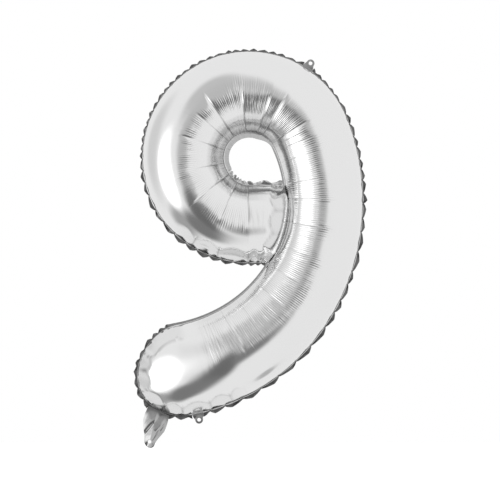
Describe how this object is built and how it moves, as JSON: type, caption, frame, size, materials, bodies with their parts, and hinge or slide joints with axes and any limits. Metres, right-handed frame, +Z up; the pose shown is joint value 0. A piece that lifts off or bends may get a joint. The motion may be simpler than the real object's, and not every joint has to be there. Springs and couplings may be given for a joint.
{
  "type": "foil number balloon",
  "caption": "Inflated silver foil balloon in the shape of the figure nine, with a heat-sealed flange, a filling neck and punched ribbon tabs.",
  "frame": {"origin": "on the front face of the top hang tab, between its fold and its hole, where the balloon is held", "axes": "+X to the reader's right, +Z up along the figure, and the balloon's front faces -Y"},
  "size_m": [0.4474, 0.1533, 0.7633],
  "materials": {
    "silver_foil": "polished metallised film, creased where it is gathered",
    "valve_film": "thin milky film"
  },
  "bodies": {
    "balloon": {"front_panel": "silver_foil", "back_panel": "silver_foil"},
    "neck": {"neck_front_film": "silver_foil", "neck_back_film": "silver_foil"},
    "top_tab": {"top_hang_tab": "silver_foil"},
    "bottom_tab": {"bottom_hang_tab": "silver_foil"},
    "valve_front": {"valve_front_film": "valve_film"},
    "valve_back": {"valve_back_film": "valve_film"}
  },
  "joints": [
    {"name": "neck_fold", "type": "hinge", "parent": "balloon", "child": "neck", "pos_m": [-0.28606, 0.00068, -0.65832], "axis": [0.8983, 0, -0.4394], "range_deg": [-80, 80], "stiffness_Nm_per_rad": 0.00003},
    {"name": "top_tab_fold", "type": "hinge", "parent": "balloon", "child": "top_tab", "pos_m": [-0.00191, 0.00068, -0.00294], "axis": [-0.8387, 0, 0.5446], "range_deg": [-80, 80], "stiffness_Nm_per_rad": 0.00002},
    {"name": "bottom_tab_fold", "type": "hinge", "parent": "balloon", "child": "bottom_tab", "pos_m": [-0.21074, 0.00068, -0.66358], "axis": [0.9781, 0, 0.2079], "range_deg": [-80, 80], "stiffness_Nm_per_rad": 0.00002},
    {"name": "valve_front_lift", "type": "hinge", "parent": "balloon", "child": "valve_front", "pos_m": [-0.28298, 0.00068, -0.65203], "axis": [0.8983, 0, -0.4394], "range_deg": [0, 8], "stiffness_Nm_per_rad": 0.0002, "springref_deg": -5.73},
    {"name": "valve_back_lift", "type": "hinge", "parent": "balloon", "child": "valve_back", "pos_m": [-0.28298, 0.00068, -0.65203], "axis": [0.8983, 0, -0.4394], "range_deg": [-8, 0], "stiffness_Nm_per_rad": 0.0002, "springref_deg": 5.73}
  ],
  "couplings": [
    {"joint": "valve_back_lift", "follows": "valve_front_lift", "ratio": -1}
  ]
}
